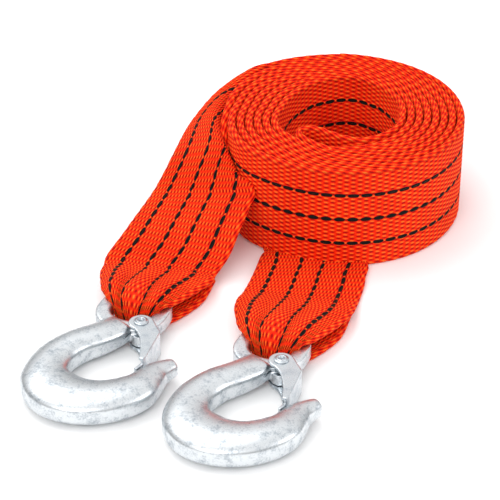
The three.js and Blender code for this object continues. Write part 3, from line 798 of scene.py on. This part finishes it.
left_pitch = turns(LEAVES_LEFT, LEAVES_LEFT, OUTER_STRAND)[0, 2]
right_pitch = turns(LEAVES_RIGHT, LEAVES_RIGHT, INNER_STRAND)[0, 2]
left_tail, left_wrap = end_pieces("left", left_controls(), LEFT_SPLIT_ROW, left_pitch - GAP, 0)
right_tail, right_wrap = end_pieces(
    "right", right_controls(), RIGHT_SPLIT_ROW, right_pitch - GAP, inner_last[1][-1])

# %% [markdown]
# ## Bodies of the webbing
#
# The roll, the flat ends and the start of the right end belong to the strap's body. The stretch
# round each eye is baked where it lies and belongs to no body: points before and past the eye's
# far bar are worked out, but nothing uses them.

# %% Bodies of the webbing
for piece in (roll, bore_turn, outer_turn, left_tail, right_tail, right_start):
    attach(piece, "strap")
for piece, side, rivet in ((left_wrap, "left", LEFT_RIVET), (right_wrap, "right", RIGHT_RIVET)):
    start = metres(hook_place(rivet, EYE_FAR_BAR - 9, EYE_OFFSET, 4))
    end = metres(hook_place(rivet, EYE_FAR_BAR + 3, EYE_OFFSET, 4))
    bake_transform(piece)
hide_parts("webbing")

# %% [markdown]
# ## The forged hooks
#
# A hook is one drop forging: a bar that starts at the eye, bulges at the back of the bowl and
# thins to a turned-out tip. Its sides are a flat band and its top and bottom are rounded crowns.
# The eye is a square ring of thinner bar. The three forms are joined by remeshing them with a
# small voxel, which leaves the small fillets that a forging die leaves.

# %% Hook forms
HOOK_MIDDLE = 6.65
HOOK_THICKNESS = 13.2
HOOK_BAR = np.array([
    [0, -9.5, 14, .68], [5, -11.5, 14.5, .8], [12, -15.5, 15, .91], [21, -21.5, 15.2, 1],
    [31.5, -24.9, 16.3, 1], [41.5, -24.3, 18.6, 1], [48.7, -20.6, 22.2, 1], [53.6, -13.4, 24.4, 1],
    [54.7, -4.8, 23.6, 1], [51.8, 4.9, 21.4, 1], [46, 12, 19.4, 1], [39, 16.3, 17, .95],
    [31.8, 17.7, 13.6, .85], [25.8, 18.6, 11.2, .76], [21.2, 20.8, 8.8, .66], [17, 23.6, 6.2, .54],
])
SIDE_BAND = 0.34
BAR_ROWS, BAR_COLUMNS = 160, 48
EYE_BAR = 6.3
EYE_HOLE = (17.0, 19.0)
LUG_RADIUS = 4.8
LUG_BOTTOM, LUG_TOP = 2.25, 7.25
LUG_ROOT = [[-4, -6], [8, -9]]
FORGING_VOXEL = 0.45


# %% Bar and eye of a hook
def hook_bar():
    """The bar: a section of two side bands and two elliptic crowns, carried along a smooth centre line.

    The angle round the section gives share = sine for the rise and cosine for the reach; the crowns
    start where the rise passes the side band.
    """
    rows = curve_through(HOOK_BAR, np.linspace(0, 1, BAR_ROWS))
    tangent = unit(np.gradient(rows[:, :2], axis=0))
    outwards = np.stack([tangent[:, 1], -tangent[:, 0]], -1)
    turn = np.linspace(0, 2 * np.pi, BAR_COLUMNS, endpoint=False)
    rise = np.sin(turn)
    rise = np.sign(rise) * np.abs(rise) ** 0.9
    past_band = np.clip((np.abs(rise) - SIDE_BAND) / (1 - SIDE_BAND), 0, 1)
    reach = np.sign(np.cos(turn)) * np.sqrt(1 - past_band ** 2)
    run = np.linspace(0, 1, BAR_ROWS)
    ends = np.sqrt(1 - smoothstep(run, 0.985, 1.003) ** 2) * np.sqrt(1 - smoothstep(run, 0.01, -0.003) ** 2)
    half = (rows[:, 2] / 2 * ends)[:, None]
    along_across = rows[:, None, :2] + outwards[:, None] * (half * reach)[..., None]
    height = HOOK_MIDDLE + (rows[:, 3] * HOOK_THICKNESS / 2 * ends)[:, None] * rise
    grid = np.concatenate([along_across, height[..., None]], -1)
    faces = grid_faces(BAR_ROWS, BAR_COLUMNS, wrap_columns=True)
    first = np.arange(BAR_COLUMNS)
    return grid.reshape(-1, 3), [faces, first[None], (first + (BAR_ROWS - 1) * BAR_COLUMNS)[None, ::-1]]


def rounded_rectangle(length, width, corner, steps):
    """Closed outline, anticlockwise: a quarter circle of steps points at each corner."""
    quarter = np.linspace(0, np.pi / 2, steps)
    points = []
    for number, (x, y) in enumerate([(1, 1), (-1, 1), (-1, -1), (1, -1)]):
        turn = quarter + number * np.pi / 2
        points.append(np.stack([x * (length / 2 - corner) + corner * np.cos(turn),
                                y * (width / 2 - corner) + corner * np.sin(turn)], -1))
    return np.concatenate(points)


def superellipse(turn, front, back, half_width, squareness_front, squareness_back):
    """Closed outline: (c / reach) to a power plus (s / half width) to it is 1, with c and s the cosine
    and sine of the turn. The front and back halves have their own reach and squareness."""
    c, s = np.cos(turn), np.sin(turn)
    power = np.where(c > 0, squareness_front, squareness_back)
    reach = np.where(c > 0, front, back)
    radius = (np.abs(c / reach) ** power + np.abs(s / half_width) ** power) ** (-1 / power)
    return np.stack([radius * c, radius * s], -1)


def eye_ring():
    """The eye: a rounded section between a rounded hole and a rounder outside. The outside is the
    rounder one, so the front corners are thick."""
    turn = np.linspace(0, 2 * np.pi, 96, endpoint=False)
    half_length, half_width = EYE_HOLE[0] / 2, EYE_HOLE[1] / 2
    hole = superellipse(turn, half_length - 0.6, half_length, half_width, 2.2, 4)
    rim = superellipse(turn, half_length + 6, half_length + EYE_BAR, half_width + EYE_BAR, 2.3, 3.2)
    middle, out = (hole + rim) / 2, (rim - hole) / 2
    section = rounded_rectangle(2, EYE_BAR, 0.45, 6)
    grid = middle[:, None] + out[:, None] * section[None, :, :1]
    centre = np.array([EYE_FAR_BAR + (EYE_BAR + EYE_HOLE[0]) / 2, EYE_OFFSET])
    height = np.broadcast_to(HOOK_MIDDLE + section[None, :, 1:], (*grid.shape[:2], 1))
    points = np.concatenate([grid + centre, height], -1)
    return points.reshape(-1, 3), [grid_faces(len(turn), len(section), True, True)]


def upright(outline, bottom, top):
    """A plate: the outline at its bottom and its top, walls between them and a face on each."""
    count = len(outline)
    outline = np.asarray(outline, float)
    points = np.concatenate([np.column_stack([outline, np.full(count, height)]) for height in (bottom, top)])
    first = np.arange(count)
    walls = np.stack([first, np.roll(first, -1), np.roll(first, -1) + count, first + count], -1)
    return points, [walls, first[None, ::-1], (first + count)[None]]


def arc(radius, start, end, steps):
    turn = np.radians(np.linspace(start, end, steps))
    return np.stack([radius * np.cos(turn), radius * np.sin(turn)], -1)


def at_hook(rivet, forms):
    """Forms in a hook's own directions, placed at its rivet. None stands for no UV and no lane."""
    return [(hook_place(rivet, *points.T), faces, None, None) for points, faces in forms]


def rounded_by_remesh(obj, voxel_mm, iterations):
    remesh = obj.modifiers.new("union", "REMESH")
    remesh.mode = "VOXEL"
    remesh.voxel_size = voxel_mm / 1000
    remesh.use_smooth_shade = True
    smooth = obj.modifiers.new("round_edges", "SMOOTH")
    smooth.factor = 0.5
    smooth.iterations = iterations


def forged_hook(side, rivet):
    lug = upright(np.vstack([arc(LUG_RADIUS, -60, 150, 24), LUG_ROOT]), LUG_BOTTOM, LUG_TOP)
    hook = add_piece(f"forged_hook_{side}", at_hook(rivet, [hook_bar(), eye_ring(), lug]), forging_material)
    rounded_by_remesh(hook, FORGING_VOXEL, 3)
    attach(hook, f"hook_{side}")
    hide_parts(f"hook_{side}")


for side, rivet in (("left", LEFT_RIVET), ("right", RIGHT_RIVET)):
    forged_hook(side, rivet)

# %% [markdown]
# ## Latches, rivets and springs
#
# A latch is pressed from one sheet: two cheeks hold the rivet, a web joins them along the outer
# side, and a narrower tongue runs on to the inside of the tip. The folds are round, so the flat
# parts are joined by a fine remesh too. The rivet is a tube whose ends are rolled over into
# rings. The spring is a wire coil on the rivet. One leg rests on the hook's neck, and the other
# lies inside the web. The spring is baked where it lies and belongs to no body.

# %% Sizes of the latch, rivet and spring
LATCH_SHEET = 1.2
LATCH_BOTTOM, LATCH_TOP = 0.75, 12.55
LATCH_BOSS = 5.4
WEB_LINE = [[3.5, 10.6], [22, 12.6], [24.5, 12.1]]
TONGUE_LINE = [[22, 12.6], [28.5, 10.9]]
TONGUE_HEIGHT = 6.0
CHEEK_INNER_EDGE = [[24.6, 10.3], [18, 7.9], [13, 5.6], [9.5, 3.4], [7, 1.2]]
SHEET_VOXEL = 0.28
RIVET_BORE, RIVET_RADIUS, RIVET_HEAD = 1.3, 2.2, 3.2
SPRING_WIRE = 0.5
SPRING_RADIUS = 3.05
SPRING_TURNS = 3.3
SPRING_LOW, SPRING_HIGH = 8.1, 10.5


# %% Forms from sheet, rod and wire
def standing_sheet(line, bottom, top):
    """A strip of sheet on edge: its outer face is on the line, and its inner face is moved by the
    sheet's thickness along the line's normal."""
    outer = np.asarray(line, float)
    way = unit(np.gradient(outer, axis=0))
    inner = outer + np.stack([way[:, 1], -way[:, 0]], -1) * LATCH_SHEET
    return upright(np.vstack([outer, inner[::-1]])[::-1], bottom, top)


def lathe(profile, steps):
    """A turned ring: the closed profile of radius and height carried round the axis."""
    profile = np.asarray(profile, float)
    turn = np.linspace(0, 2 * np.pi, steps, endpoint=False)[:, None]
    height = np.broadcast_to(profile[:, 1], (steps, len(profile)))
    grid = np.stack([profile[:, 0] * np.cos(turn), profile[:, 0] * np.sin(turn), height], -1)
    return grid.reshape(-1, 3), [grid_faces(steps, len(profile), True, True)]


def tube(path, radius, sides):
    """A wire: a circle carried along the path, square to it, with a face on each end."""
    tangent = unit(np.gradient(path, axis=0))
    side = unit(np.cross(tangent, [0, 0, 1]))
    rise = np.cross(side, tangent)
    turn = np.linspace(0, 2 * np.pi, sides, endpoint=False)[None, :, None]
    grid = path[:, None] + radius * (side[:, None] * np.cos(turn) + rise[:, None] * np.sin(turn))
    first = np.arange(sides)
    last = first + (len(path) - 1) * sides
    faces = grid_faces(len(path), sides, wrap_columns=True)
    return grid.reshape(-1, 3), [faces, first[None], last[None, ::-1]]


# %% Latch, rivet and spring of one hook
def latch(side, rivet):
    cheek = np.vstack([arc(LATCH_BOSS, -10, -230, 40), WEB_LINE, CHEEK_INNER_EDGE])[::-1]
    forms = [
        upright(cheek, LATCH_BOTTOM, LATCH_BOTTOM + LATCH_SHEET),
        upright(cheek, LATCH_TOP - LATCH_SHEET, LATCH_TOP),
        standing_sheet(WEB_LINE, LATCH_BOTTOM, LATCH_TOP),
        standing_sheet(TONGUE_LINE, HOOK_MIDDLE - TONGUE_HEIGHT / 2, HOOK_MIDDLE + TONGUE_HEIGHT / 2),
    ]
    piece = add_piece(f"pressed_latch_{side}", at_hook(rivet, forms), sheet_material)
    rounded_by_remesh(piece, SHEET_VOXEL, 2)
    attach(piece, f"latch_{side}")
    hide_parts(f"latch_{side}")


def latch_rivet(side, rivet):
    low, high = LATCH_BOTTOM - 0.08, LATCH_TOP + 0.08
    profile = [
        [RIVET_BORE, low - 0.3], [1.5, low - 0.5], [2.9, low - 0.5], [RIVET_HEAD, low - 0.3],
        [RIVET_HEAD, low], [RIVET_RADIUS, low], [RIVET_RADIUS, high], [RIVET_HEAD, high],
        [RIVET_HEAD, high + 0.35], [3.0, high + 0.5], [2.45, high + 0.52], [2.25, high + 0.85],
        [2.0, high + 1.06], [1.65, high + 1.06], [RIVET_BORE, high + 0.85],
    ]
    piece = add_piece(f"rolled_rivet_{side}", at_hook(rivet, [lathe(profile, 64)]), rivet_material)
    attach(piece, f"hook_{side}")
    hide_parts(f"latch_rivet_{side}")


def latch_spring(side, rivet):
    """A coil with two legs. The radius is fixed, the height rises evenly with the turn, and each leg
    leaves along the tangent."""
    turn = np.radians(np.linspace(-75, -75 + 360 * SPRING_TURNS, 220))
    height = np.linspace(SPRING_LOW, SPRING_HIGH, len(turn))
    helix = np.stack([SPRING_RADIUS * np.cos(turn), SPRING_RADIUS * np.sin(turn), height], -1)
    still = np.array([[8.6, -4.1, 8.3], [6.5, -3.9, 8.2], [3.4, -3.4, SPRING_LOW]])
    last = turn[-1]
    away = helix[-1] + 2.2 * np.array([-np.sin(last), np.cos(last), 0])
    moving = np.array([away, [4.5, 7.4, 10.4], [9, 9.3, 9.8], [14.5, 10.2, 9.0]])
    path = np.vstack([curve_through(still, np.linspace(0, 1, 30))[:-1], helix,
                      curve_through(np.vstack([helix[-1], moving]), np.linspace(0, 1, 50))[1:]])
    piece = add_piece(f"coiled_spring_{side}", at_hook(rivet, [tube(path, SPRING_WIRE, 12)]), spring_material)
    metres(hook_place(rivet, 3, 3.7, 9))
    metres(hook_place(rivet, 4.5, 6, 9))
    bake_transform(piece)
    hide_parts(f"latch_spring_{side}")


for side, rivet in (("left", LEFT_RIVET), ("right", RIGHT_RIVET)):
    latch(side, rivet)
    latch_rivet(side, rivet)
    latch_spring(side, rivet)
